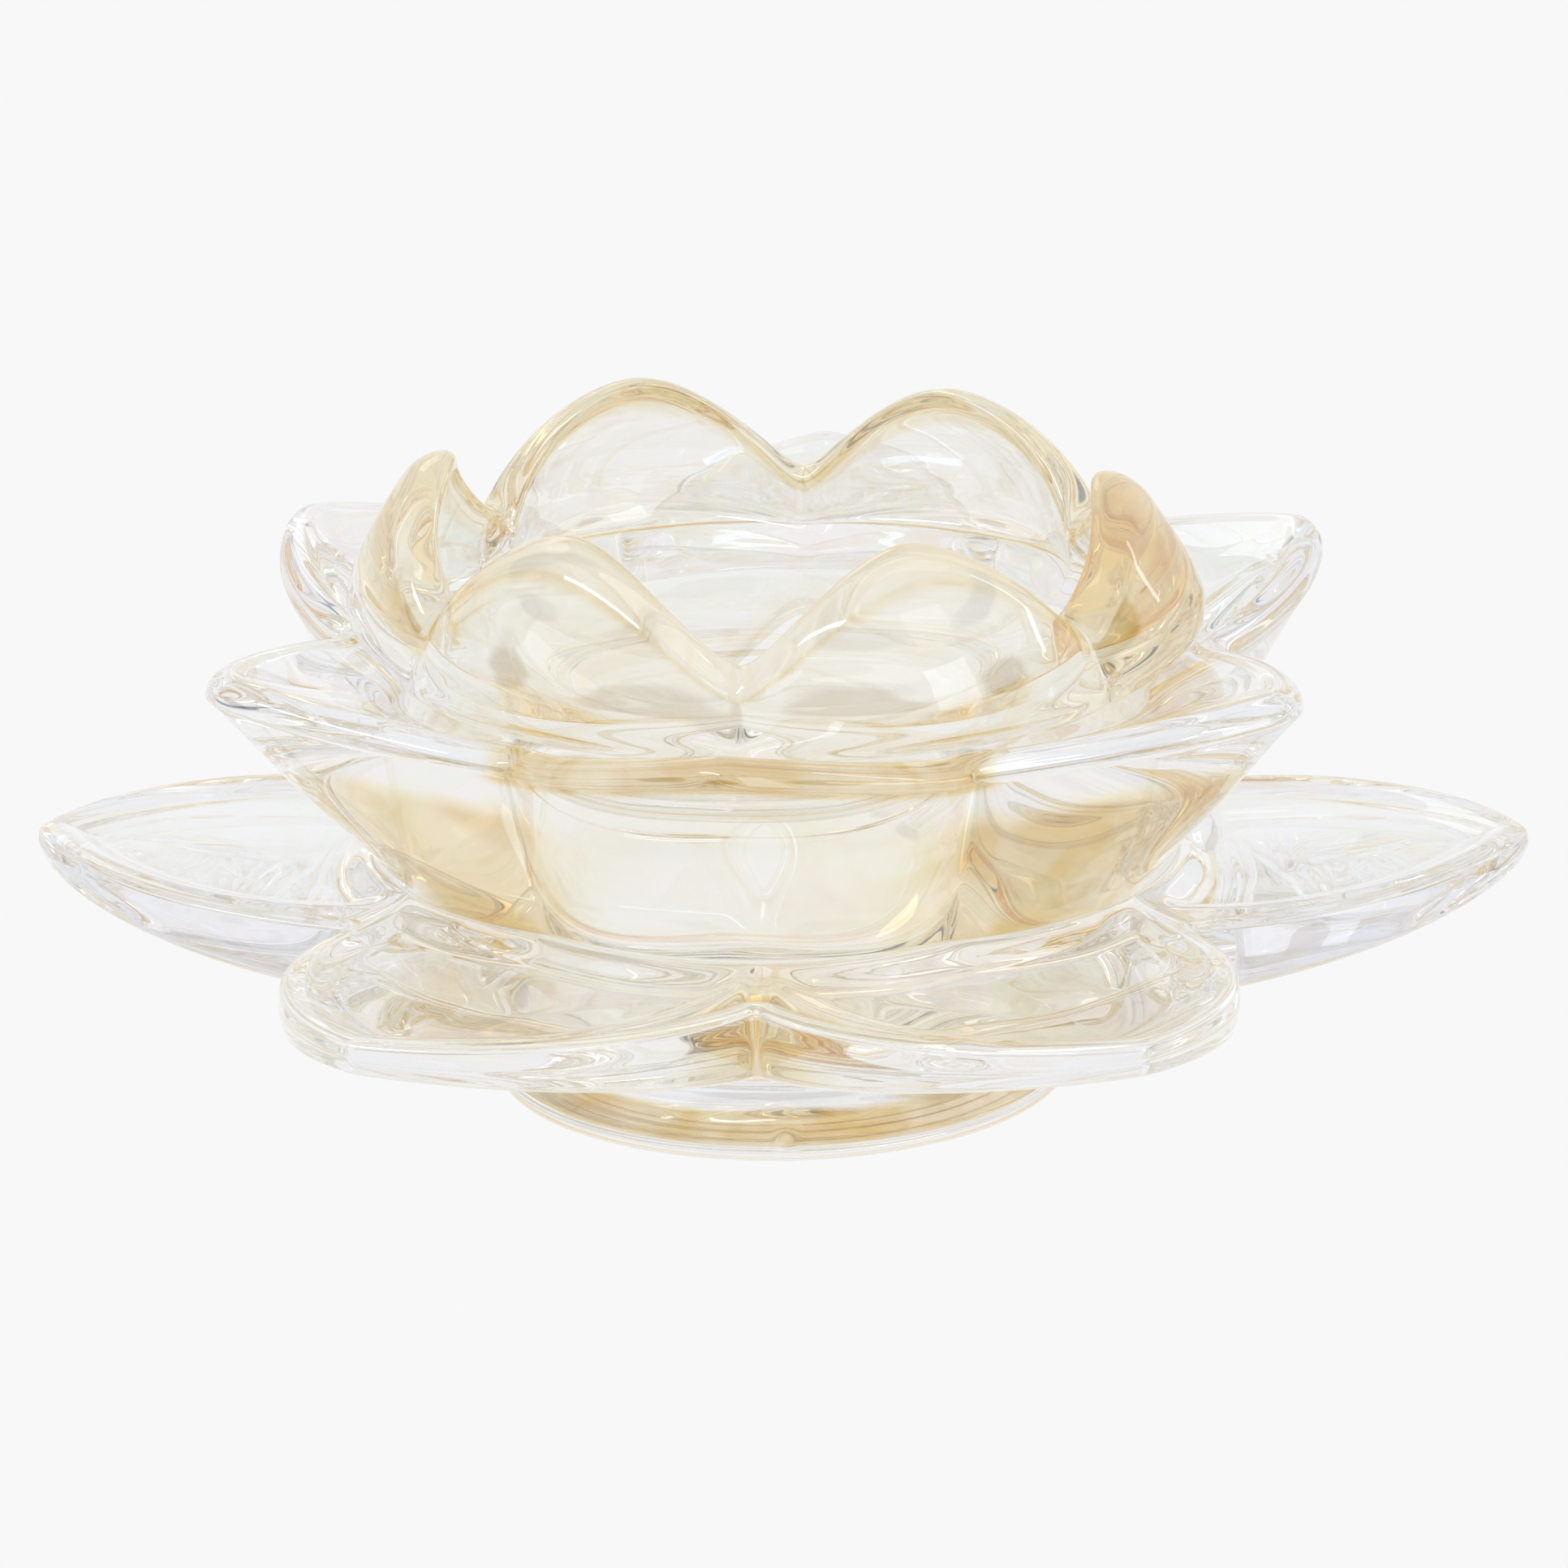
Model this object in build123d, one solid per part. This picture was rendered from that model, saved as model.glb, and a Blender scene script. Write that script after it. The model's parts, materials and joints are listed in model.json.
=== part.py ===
from build123d import *
import os
from math import cos, radians, sin

# Lotus tealight holder in pressed glass: a round foot, a lower tier of six broad flat
# petals, a middle tier of six petals that lean outwards, and a cup of six petals that
# curl inwards round the tealight.  Each tier is a separate pressing, and a thin film of
# clear adhesive bonds it to the next one.
# Millimetres, +Z up, origin at the centre of the foot's underside.

PETALS = 6
STEP = 360 / PETALS
HALF = STEP / 2
UPPER_TURN = -2.4        # the two upper tiers are bonded slightly out of line
LOWER_START = 0          # azimuth of each tier's first petal
MIDDLE_START = HALF + UPPER_TURN
CUP_START = UPPER_TURN

FILM = 0.15              # thickness of every adhesive film

# Foot: radii and heights of its turned profile
FOOT_RADIUS = 28.3
FOOT_EDGE = 1.2          # rounded corner on the table
FOOT_WAIST = 24.5
FOOT_WAIST_Z = 6.5
FOOT_TOP_RADIUS = 27.5
FOOT_HEIGHT = 12.0
FOOT_PUNT_RADIUS = 20.0  # shallow hollow under the foot
FOOT_PUNT_DEPTH = 1.0

# Lower tier
LOWER_BASE_Z = FOOT_HEIGHT + FILM
LOWER_BASE_RADIUS = 30.0
LOWER_TIP = 72.5         # petal tip radius
LOWER_NOTCH = 46.0       # radius where two petals meet
LOWER_BOW = 6.6          # how far each petal side bulges past its chord
LOWER_DRAFT = 0.95       # the same outline is smaller and flatter at the tier's base
LOWER_BASE_BOW = 4.2
LOWER_TIP_UNDER_Z = 21.2
LOWER_NOTCH_UNDER_Z = 14.8
LOWER_TIP_TOP_Z = 24.8
LOWER_NOTCH_TOP_Z = 22.3
LOWER_SEAT_Z = 24.0      # flat seat under the middle tier
LOWER_SEAT_RADIUS = 41.5
LOWER_LIP = 4.2          # width of the raised lip round each petal's dish
LOWER_DISH_DEPTH = 1.2
LOWER_DISH_START = 42.5  # inner end of each dish

# Middle tier
MIDDLE_BASE_Z = LOWER_SEAT_Z + FILM
MIDDLE_BASE_TIP = 41.0
MIDDLE_BASE_NOTCH = 37.6
MIDDLE_BASE_BOW = 1.6
MIDDLE_RIM_TIP = 60.4
MIDDLE_RIM_NOTCH = 43.3
MIDDLE_RIM_BOW = 2.2
MIDDLE_RIM_Z = 46.5      # height at which the rim outline holds
MIDDLE_FLARE = 1.1       # above 1 the petals start steep and flare towards their tips
MIDDLE_TIP_TOP_Z = 48.9
MIDDLE_NOTCH_TOP_Z = 43.8
MIDDLE_RIM_INSET = 2.2   # how far the rim leans back between those two heights
MIDDLE_DISH_TIP = 55.6   # inner edge of the rim lip
MIDDLE_DISH_NOTCH = 40.9
MIDDLE_DISH_BOW = 2.0
MIDDLE_DISH_Z = 43.3     # dish height at the foot of the cup
MIDDLE_DISH_TIP_Z = 46.9
SOCKET_RADIUS = 36.0     # recess that takes the cup's plug
SOCKET_FLOOR_Z = 37.0

# Inner cup
CUP_BASE_Z = MIDDLE_DISH_Z + FILM
CUP_BASE_RADIUS = 38.7
CUP_PLUG_RADIUS = SOCKET_RADIUS - FILM
CUP_PLUG_Z = SOCKET_FLOOR_Z + FILM
CUP_FLOOR_Z = 43.6
CUP_APEX_Z = 62.0
CUP_NOTCH_Z = 51.1
CUP_ARCH_POWER = 1.85    # roundness of the rim's arches
# height, radius at the petal's middle, radius at the crease between petals
CUP_OUTSIDE = (
    (CUP_BASE_Z, CUP_BASE_RADIUS, CUP_BASE_RADIUS - 0.6),
    (45.0, 40.7, 37.9),
    (47.5, 41.6, 37.0),
    (50.5, 40.9, 35.8),
    (54.0, 39.1, 34.3),
    (58.0, 36.6, 32.4),
    (61.5, 34.0, 30.4),
    (65.0, 31.0, 28.0),
)
CUP_INSIDE = (
    (CUP_FLOOR_Z, 32.8, 30.3),
    (46.0, 35.2, 31.7),
    (49.0, 35.9, 31.5),
    (52.0, 35.4, 30.8),
    (55.5, 33.9, 29.9),
    (59.0, 31.4, 28.3),
    (62.0, 29.0, 26.6),
    (66.0, 25.6, 24.0),
)


def polar(radius, azimuth, z):
    """Point at a radius, an azimuth in degrees and a height."""
    return Vector(radius * cos(radians(azimuth)), radius * sin(radians(azimuth)), z)


def flared(low, high, z):
    """Value between low at the middle tier's base and high at its rim, flaring upwards."""
    rise = (z - MIDDLE_BASE_Z) / (MIDDLE_RIM_Z - MIDDLE_BASE_Z)
    return low + (high - low) * rise ** MIDDLE_FLARE


def pointed_outline(tip, notch, bow, z, start):
    """Six pointed petals: two arcs from each tip to the notches beside it."""
    edges = []
    for k in range(PETALS):
        azimuth = start + k * STEP
        tip_point = polar(tip, azimuth, z)
        for side in (-1, 1):
            notch_point = polar(notch, azimuth + side * HALF, z)
            chord = notch_point - tip_point
            outward = Vector(chord.Y, -chord.X, 0).normalized() * side
            middle = (tip_point + notch_point) * 0.5 + outward * bow
            ends = (notch_point, tip_point) if side < 0 else (tip_point, notch_point)
            edges.append(Edge.make_three_point_arc(ends[0], middle, ends[1]))
    return Wire(edges)


def round_outline(middle, crease, z, start):
    """Six round petals: one arc for each, from crease to crease."""
    edges = []
    for k in range(PETALS):
        azimuth = start + k * STEP
        left = polar(crease, azimuth - HALF, z)
        right = polar(crease, azimuth + HALF, z)
        edges.append(Edge.make_three_point_arc(left, polar(middle, azimuth, z), right))
    return Wire(edges)


def turned(points):
    """Solid of revolution from a closed outline of (radius, height) points."""
    outline = Polyline(*[(r, 0, z) for r, z in points], close=True)
    return revolve(make_face(outline), Axis.Z)


def disc(radius, bottom, top):
    """Plain round disc between two heights."""
    return Pos(0, 0, bottom) * extrude(Circle(radius), top - bottom)


def foot():
    """Round foot: a rounded table edge, a hollow waist, and a shallow punt underneath."""
    edge_top = (FOOT_RADIUS, 0, FOOT_EDGE)
    edge_low = (FOOT_RADIUS - FOOT_EDGE, 0, 0)
    corner = FOOT_EDGE * (1 - sin(radians(45)))
    edge_mid = (FOOT_RADIUS - corner, 0, corner)
    top_rim = (FOOT_TOP_RADIUS, 0, FOOT_HEIGHT)
    outline = [
        Line((0, 0, FOOT_PUNT_DEPTH), (0, 0, FOOT_HEIGHT)),
        Line((0, 0, FOOT_HEIGHT), top_rim),
        ThreePointArc(top_rim, (FOOT_WAIST, 0, FOOT_WAIST_Z), edge_top),
        ThreePointArc(edge_top, edge_mid, edge_low),
        Line(edge_low, (FOOT_PUNT_RADIUS, 0, 0)),
        Line((FOOT_PUNT_RADIUS, 0, 0), (0, 0, FOOT_PUNT_DEPTH)),
    ]
    return revolve(make_face(Wire([e.edge() for e in outline])), Axis.Z)


def foot_bond():
    """Adhesive film between the foot and the lower tier."""
    return disc(FOOT_TOP_RADIUS - FILM, FOOT_HEIGHT, LOWER_BASE_Z)


def lower_petal_tier():
    """Six broad flat petals, each dished inside a raised lip, on a thick round hub."""
    outline = pointed_outline(LOWER_TIP, LOWER_NOTCH, LOWER_BOW, LOWER_TIP_TOP_Z, LOWER_START)
    base_tip = LOWER_TIP * LOWER_DRAFT
    base_notch = LOWER_NOTCH * LOWER_DRAFT
    base = pointed_outline(base_tip, base_notch, LOWER_BASE_BOW, LOWER_BASE_Z, LOWER_START)
    blank = Solid.make_loft([base, outline], ruled=True)
    slab = turned([
        (0, LOWER_BASE_Z),
        (LOWER_BASE_RADIUS, LOWER_BASE_Z),
        (LOWER_NOTCH, LOWER_NOTCH_UNDER_Z),
        (LOWER_TIP, LOWER_TIP_UNDER_Z),
        (LOWER_TIP, LOWER_TIP_TOP_Z),
        (LOWER_NOTCH, LOWER_NOTCH_TOP_Z),
        (LOWER_SEAT_RADIUS, LOWER_SEAT_Z),
        (0, LOWER_SEAT_Z),
    ])
    tier = blank & slab
    rise = (LOWER_TIP_TOP_Z - LOWER_NOTCH_TOP_Z) / (LOWER_TIP - LOWER_NOTCH)
    start_z = LOWER_NOTCH_TOP_Z + rise * (LOWER_DISH_START - LOWER_NOTCH)
    above_dish = turned([
        (LOWER_DISH_START, start_z - LOWER_DISH_DEPTH),
        (LOWER_TIP, LOWER_TIP_TOP_Z - LOWER_DISH_DEPTH),
        (LOWER_TIP, LOWER_TIP_TOP_Z * 2),
        (LOWER_DISH_START, LOWER_TIP_TOP_Z * 2),
    ])
    inner = Pos(0, 0, -LOWER_TIP_TOP_Z) * offset(Face(outline), -LOWER_LIP)
    dishes = extrude(inner, LOWER_TIP_TOP_Z * 2) & above_dish
    return tier - dishes


def middle_bond():
    """Adhesive film between the lower and the middle tier."""
    return disc(MIDDLE_BASE_NOTCH - FILM, LOWER_SEAT_Z, MIDDLE_BASE_Z)


def middle_petal_tier():
    """Thick bowl whose six petals flare outwards, with a shallow dish and a round socket."""
    levels = (MIDDLE_BASE_Z, 28.5, 33.0, 37.5, 42.0, MIDDLE_RIM_Z)
    sections = []
    for z in levels:
        tip = flared(MIDDLE_BASE_TIP, MIDDLE_RIM_TIP, z)
        notch = MIDDLE_BASE_NOTCH + (MIDDLE_RIM_NOTCH - MIDDLE_BASE_NOTCH) * (
            (z - MIDDLE_BASE_Z) / (MIDDLE_RIM_Z - MIDDLE_BASE_Z))
        bow = flared(MIDDLE_BASE_BOW, MIDDLE_RIM_BOW, z)
        sections.append(pointed_outline(tip, notch, bow, z, MIDDLE_START))
    crest_tip = MIDDLE_RIM_TIP - MIDDLE_RIM_INSET
    crest_notch = MIDDLE_RIM_NOTCH - MIDDLE_RIM_INSET
    crest = pointed_outline(crest_tip, crest_notch, MIDDLE_RIM_BOW, MIDDLE_TIP_TOP_Z, MIDDLE_START)
    flare = Solid.make_loft(sections) + Solid.make_loft([sections[-1], crest], ruled=True)
    below_rim = turned([
        (0, MIDDLE_BASE_Z),
        (MIDDLE_RIM_TIP * 1.2, MIDDLE_BASE_Z),
        (MIDDLE_RIM_TIP * 1.2, MIDDLE_TIP_TOP_Z),
        (crest_tip, MIDDLE_TIP_TOP_Z),
        (MIDDLE_RIM_NOTCH, MIDDLE_NOTCH_TOP_Z),
        (0, MIDDLE_NOTCH_TOP_Z),
    ])
    above_dish = turned([
        (0, MIDDLE_DISH_Z),
        (MIDDLE_DISH_NOTCH, MIDDLE_DISH_Z),
        (MIDDLE_DISH_TIP, MIDDLE_DISH_TIP_Z),
        (MIDDLE_DISH_TIP, MIDDLE_TIP_TOP_Z * 2),
        (0, MIDDLE_TIP_TOP_Z * 2),
    ])
    inner = pointed_outline(MIDDLE_DISH_TIP, MIDDLE_DISH_NOTCH, MIDDLE_DISH_BOW, 0, MIDDLE_START)
    dish = extrude(Face(inner), MIDDLE_TIP_TOP_Z * 2) & above_dish
    socket = disc(SOCKET_RADIUS, SOCKET_FLOOR_Z, MIDDLE_TIP_TOP_Z)
    return (flare & below_rim) - dish - socket


def cup_bond():
    """Adhesive film lining the socket and the land round it."""
    outside = disc(SOCKET_RADIUS, SOCKET_FLOOR_Z, MIDDLE_DISH_Z)
    outside += disc(CUP_BASE_RADIUS - 1, MIDDLE_DISH_Z, CUP_BASE_Z)
    return outside - disc(CUP_PLUG_RADIUS, CUP_PLUG_Z, CUP_BASE_Z)


def arch_cutter():
    """Everything above the valley that two neighbouring petals' rims make at a notch."""
    reach = CUP_INSIDE[-3][1] * sin(radians(HALF)) + 1.0
    height = CUP_APEX_Z - CUP_NOTCH_Z
    points = []
    for i in range(9):
        along = i / 8
        rise = 1 - (1 - along) ** CUP_ARCH_POWER
        points.append((reach * along, CUP_NOTCH_Z + height * rise))
    right = [Vector(0, y, z) for y, z in points]
    left = [Vector(0, -y, z) for y, z in points]
    level = Vector(0, 1, 0)
    climb = Vector(0, reach, height * CUP_ARCH_POWER).normalized()
    fall = Vector(0, reach, -height * CUP_ARCH_POWER).normalized()
    top = CUP_APEX_Z * 1.2
    wide = reach * 1.3
    outline = Wire([
        Edge.make_spline(left[::-1], tangents=(level, fall)),
        Edge.make_spline(right, tangents=(climb, level)),
        Edge.make_line(right[-1], Vector(0, wide, CUP_APEX_Z)),
        Edge.make_line(Vector(0, wide, CUP_APEX_Z), Vector(0, wide, top)),
        Edge.make_line(Vector(0, wide, top), Vector(0, -wide, top)),
        Edge.make_line(Vector(0, -wide, top), Vector(0, -wide, CUP_APEX_Z)),
        Edge.make_line(Vector(0, -wide, CUP_APEX_Z), left[-1]),
    ])
    return Solid.extrude(Face(outline), Vector(CUP_OUTSIDE[2][1] * 1.3, 0, 0))


def inner_petal_cup():
    """Cup of six petals that bulge and curl inwards, on a plug that fits the socket."""
    outside = Solid.make_loft([round_outline(m, c, z, CUP_START) for z, m, c in CUP_OUTSIDE])
    inside = Solid.make_loft([round_outline(m, c, z, CUP_START) for z, m, c in CUP_INSIDE])
    cup = outside + disc(CUP_PLUG_RADIUS, CUP_PLUG_Z, CUP_FLOOR_Z)
    cup = cup - inside
    cutter = arch_cutter()
    for k in range(PETALS):
        cup = cup - Rot(0, 0, CUP_START + HALF + k * STEP) * cutter
    return cup


def save(shape, name):
    """Write one sub-part as a STEP file named after its node."""
    export_step(Compound(children=[Solid(s.wrapped) for s in shape.solids()]), f"parts/{name}.step")


os.makedirs("parts", exist_ok=True)
save(foot(), "foot")
save(foot_bond(), "foot_bond")
save(lower_petal_tier(), "lower_petal_tier")
save(middle_bond(), "middle_bond")
save(middle_petal_tier(), "middle_petal_tier")
save(cup_bond(), "cup_bond")
save(inner_petal_cup(), "inner_petal_cup")
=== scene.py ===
import json
import math

import bpy
import numpy as np
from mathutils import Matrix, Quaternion, Vector


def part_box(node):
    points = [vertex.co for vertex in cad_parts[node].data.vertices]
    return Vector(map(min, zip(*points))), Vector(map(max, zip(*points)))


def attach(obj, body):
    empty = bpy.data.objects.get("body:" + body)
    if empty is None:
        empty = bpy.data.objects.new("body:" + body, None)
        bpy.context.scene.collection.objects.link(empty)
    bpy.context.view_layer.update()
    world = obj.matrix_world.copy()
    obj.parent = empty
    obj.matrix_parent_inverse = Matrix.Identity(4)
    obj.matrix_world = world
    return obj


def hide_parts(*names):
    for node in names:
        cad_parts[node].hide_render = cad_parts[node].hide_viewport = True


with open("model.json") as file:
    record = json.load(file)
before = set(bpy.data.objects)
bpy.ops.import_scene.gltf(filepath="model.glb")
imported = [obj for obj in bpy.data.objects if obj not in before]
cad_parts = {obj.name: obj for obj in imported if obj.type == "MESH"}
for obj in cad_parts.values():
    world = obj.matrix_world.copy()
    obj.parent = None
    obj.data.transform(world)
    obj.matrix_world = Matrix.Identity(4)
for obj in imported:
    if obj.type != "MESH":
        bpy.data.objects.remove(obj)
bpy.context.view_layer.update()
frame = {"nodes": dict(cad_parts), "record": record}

# Lotus tealight holder in clear pressed glass with an amber lustre.
# Every surface is worked out in millimetres and goes into its mesh in metres.

MM = 0.001
PETALS = 6
STEP = 2 * math.pi / PETALS
HALF = STEP / 2
UPPER_TURN = math.radians(-2.4)   # the two upper tiers are bonded slightly out of line
AIR_LINE = 0.35                   # the bond stops this far short of each crease


# ---------------------------------------------------------------- shapes in plan

def round_flower(per_petal, crowding=0.8):
    """Azimuths once round the flower, closer together at petal tips and creases.

    A steady sweep in which every half petal has a sine taken off it, so that the steps
    are shortest where the outline turns fastest.
    """
    share = np.arange(PETALS * per_petal) / per_petal
    share = share - crowding / (4 * math.pi) * np.sin(4 * math.pi * share)
    return share * STEP


def from_middle(azimuth, start, tip_soft=0.0, crease_soft=0.0):
    """Angle from the nearest petal's middle, 0 at the middle and HALF at the crease.

    The sharp turn at either end is rounded by a hyperbola of the given half width.
    """
    turn = np.abs((azimuth - start + HALF) % STEP - HALF)
    left = HALF - turn
    near_tip = 0.5 + 0.5 * np.cos(math.pi * turn / HALF)
    at_tip = np.sqrt(turn ** 2 + tip_soft ** 2) - turn
    at_crease = np.sqrt(left ** 2 + crease_soft ** 2) - left
    return turn + at_tip * near_tip - at_crease * (1 - near_tip)


def petal_side(tip, notch, bow):
    """Centre and radius of the arc along one side of a pointed petal.

    The arc runs through the tip on the axis and the notch at HALF, and bulges by bow past
    the straight line between them.
    """
    notch_x, notch_y = notch * math.cos(HALF), notch * math.sin(HALF)
    run_x, run_y = notch_x - tip, notch_y
    chord = np.hypot(run_x, run_y)
    radius = (chord ** 2 / 4 + bow ** 2) / (2 * bow)
    centre_x = (tip + notch_x) / 2 + run_y / chord * (bow - radius)
    centre_y = notch_y / 2 - run_x / chord * (bow - radius)
    return centre_x, centre_y, radius


def pointed(turn, tip, notch, bow):
    """Radius of a ring of pointed petals: where a ray at this turn leaves the side's arc."""
    centre_x, centre_y, radius = petal_side(tip, notch, bow)
    along = centre_x * np.cos(turn) + centre_y * np.sin(turn)
    return along + np.sqrt(along ** 2 - centre_x ** 2 - centre_y ** 2 + radius ** 2)


def inside_side(reach, turn, tip, notch, bow):
    """Distance from a point inside a ring of pointed petals to the nearest side's arc."""
    centre_x, centre_y, radius = petal_side(tip, notch, bow)
    return radius - np.hypot(reach * np.cos(turn) - centre_x, reach * np.sin(turn) - centre_y)


def lobed(turn, middle, crease):
    """Radius of a ring of round lobes: each one is a circle through its middle and creases."""
    shift = (middle ** 2 - crease ** 2) / (2 * (middle - crease * math.cos(HALF)))
    return shift * np.cos(turn) + np.sqrt((middle - shift) ** 2 - (shift * np.sin(turn)) ** 2)


def by_petal(azimuth, start, values):
    """Value that eases from one petal's to the next: each holds at its own petal's middle."""
    place = (azimuth - start) / STEP % PETALS
    first = np.floor(place).astype(int) % PETALS
    ease = smoothed(place - np.floor(place))
    values = np.array(values, float)
    return values[first] * (1 - ease) + values[(first + 1) % PETALS] * ease


def near_angle(azimuth, centre, width):
    """Soft bell of this width round one azimuth, both in degrees."""
    away = (np.degrees(azimuth) - centre + 180) % 360 - 180
    return np.exp(-(away / width) ** 2)


def smoothed(share):
    """0 below 0, 1 above 1, and an even S between them."""
    share = np.clip(share, 0.0, 1.0)
    return share * share * (3 - 2 * share)


def curve_through(points, at):
    """Smooth curve through (x, value) points: cubic pieces with Catmull-Rom slopes."""
    x, value = np.array(points, float).T
    slope = np.gradient(value, x)
    at = np.clip(at, x[0], x[-1])
    i = np.clip(np.searchsorted(x, at) - 1, 0, len(x) - 2)
    width = x[i + 1] - x[i]
    t = (at - x[i]) / width
    low = (1 + 2 * t) * (1 - t) ** 2 * value[i] + t * (1 - t) ** 2 * width * slope[i]
    high = t * t * (3 - 2 * t) * value[i + 1] - t * t * (1 - t) * width * slope[i + 1]
    return low + high


def outward(x, y):
    """Unit normals of a closed outline, from the step between each point's neighbours."""
    step_x = np.roll(x, -1) - np.roll(x, 1)
    step_y = np.roll(y, -1) - np.roll(y, 1)
    length = np.hypot(step_x, step_y)
    return step_y / length, -step_x / length


# ---------------------------------------------------------------- meshes

class Skin:
    """Closed skin built of rings, from the middle of the top face to the middle of the base."""

    def __init__(self, azimuth):
        self.azimuth = azimuth
        self.rings = []
        self.bonded = []
        self.lustre = []

    def ring(self, x, y, z, bonded=False, lustre=0.0):
        """One ring, and the tint on it, partly lustre and partly painted light: 1 is amber, 0 is
        clear and -1 is violet-white.

        bonded says whether the band from the ring before it is glued.
        """
        flat = np.zeros_like(self.azimuth)
        self.rings.append(np.stack([x + flat, y + flat, z + flat], 1))
        self.bonded.append(bonded)
        self.lustre.append(lustre + flat)

    def polar(self, reach, z, bonded=False, lustre=0.0, shift=0.0):
        """One ring given by its radius and height at each azimuth, and a shift along x."""
        x, y = reach * np.cos(self.azimuth) + shift, reach * np.sin(self.azimuth)
        self.ring(x, y, z, bonded, lustre)

    def build(self, name, materials):
        """Mesh of the rings: quads between them, and a fan round the point at each end."""
        rings = np.array(self.rings[1:-1])
        count, columns = rings.shape[:2]
        first = self.rings[0].mean(0)
        last = self.rings[-1].mean(0)
        points = np.concatenate([[first], rings.reshape(-1, 3), [last]]) * MM
        column = np.arange(columns)
        after = (column + 1) % columns
        quads = []
        for row in range(count - 1):
            low, high = 1 + row * columns, 1 + (row + 1) * columns
            quads.append(np.stack([low + column, high + column, high + after, low + after], 1))
        end = 1 + (count - 1) * columns
        top = np.stack([np.zeros_like(column), 1 + column, 1 + after], 1)
        base = np.stack([end + column, np.full_like(column, len(points) - 1), end + after], 1)
        faces = top.tolist() + np.concatenate(quads).tolist() + base.tolist()
        glued = np.repeat(np.array(self.bonded[1:], int), columns)
        mesh = bpy.data.meshes.new(name)
        mesh.from_pydata(points.tolist(), [], faces)
        for material in materials:
            mesh.materials.append(material)
        mesh.polygons.foreach_set("material_index", glued)
        mesh.polygons.foreach_set("use_smooth", np.ones(len(faces), bool))
        # the painted tint goes to the mesh as one value per point, partly lustre and partly
        # painted light
        amount = np.concatenate([[0.0], np.array(self.lustre[1:-1]).ravel(), [0.0]])
        layer = mesh.attributes.new("lustre", "FLOAT", "POINT")
        layer.data.foreach_set("value", np.clip(amount, -1, 1).astype(np.float32))
        mesh.update()
        piece = bpy.data.objects.new(name, mesh)
        bpy.context.scene.collection.objects.link(piece)
        return piece


# ---------------------------------------------------------------- the foot

FOOT_BASE_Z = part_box("foot")[0].z / MM
FOOT_TOP_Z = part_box("foot")[1].z / MM
FOOT_RADIUS = 28.3
FOOT_BAND_Z = 1.25
FOOT_WAIST = 24.5
FOOT_TOP_RADIUS = 27.5
PUNT_RADIUS = 20.0
PUNT_DEPTH = 1.0
FOOT_CORNER = 0.1                 # bevel round the glued top
FOOT_EDGE_HIGH, FOOT_EDGE_WIDE = 0.35, 0.55
FOOT_TOE = 0.8                    # how far the round under the table edge comes in
SEAM_AT = math.radians(-86.6)
SEAM_OUT, SEAM_WIDTH = 0.45, 0.7


def foot_skin():
    """Round foot: a flat top, a hollow waist, a rounded table edge and a shallow punt.

    The waist is a parabola between the two rims.  A mould seam stands out of the table edge
    as one small bell-shaped swelling.  The waist is painted amber low down, violet-white over
    its middle and cream at its top: a painted reflection in the hollow waist over the amber
    lustre.
    """
    azimuth = round_flower(64, crowding=0.0)
    skin = Skin(azimuth)
    away = (azimuth - SEAM_AT + math.pi) % (2 * math.pi) - math.pi
    seam = SEAM_OUT * np.exp(-(away * FOOT_RADIUS / SEAM_WIDTH) ** 2)
    skin.polar(0, FOOT_TOP_Z)
    for share in (0.25, 0.5, 0.75, 1.0):
        skin.polar((FOOT_TOP_RADIUS - AIR_LINE) * share, FOOT_TOP_Z, bonded=True)
    skin.polar(FOOT_TOP_RADIUS - FOOT_CORNER, FOOT_TOP_Z)
    waist_top, waist_low = FOOT_TOP_Z - FOOT_CORNER, FOOT_BAND_Z + FOOT_EDGE_HIGH
    edge = FOOT_RADIUS - FOOT_EDGE_WIDE
    for t in np.linspace(0, 1, 40):
        z = waist_top + (waist_low - waist_top) * t
        sag = 4 * t * (1 - t)
        straight = FOOT_TOP_RADIUS + (edge - FOOT_TOP_RADIUS) * t
        reach = straight - (straight - FOOT_WAIST) * sag
        # painted reflection in the hollow waist over the lustre: amber low, violet-white in the
        # middle, cream at the top
        band = 1.8 * smoothed((4.9 - z) / 1.2) - 0.8 + 1.2 * smoothed((z - 9.5) / 1.5)
        skin.polar(reach + seam * smoothed(t * 8 - 7), z, lustre=band)
    for t in np.linspace(0, 1, 8)[1:]:
        turn = t * math.pi / 2
        reach = edge + FOOT_EDGE_WIDE * math.sin(turn)
        skin.polar(reach + seam, FOOT_BAND_Z + FOOT_EDGE_HIGH * math.cos(turn))
    for t in np.linspace(0, 1, 12)[1:]:
        turn = t * math.pi / 2
        reach = FOOT_RADIUS - FOOT_TOE + FOOT_TOE * math.cos(turn)
        skin.polar(reach + seam * (1 - t), FOOT_BAND_Z * (1 - math.sin(turn)))
    for t in np.linspace(0, 1, 6)[1:]:
        skin.polar(FOOT_RADIUS - FOOT_TOE + (PUNT_RADIUS + FOOT_TOE - FOOT_RADIUS) * t,
                   FOOT_BASE_Z)
    for t in np.linspace(0, 1, 24)[1:]:
        skin.polar(PUNT_RADIUS * (1 - t), FOOT_BASE_Z + PUNT_DEPTH * smoothed(t))
    return skin


# ---------------------------------------------------------------- the lower tier

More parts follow.
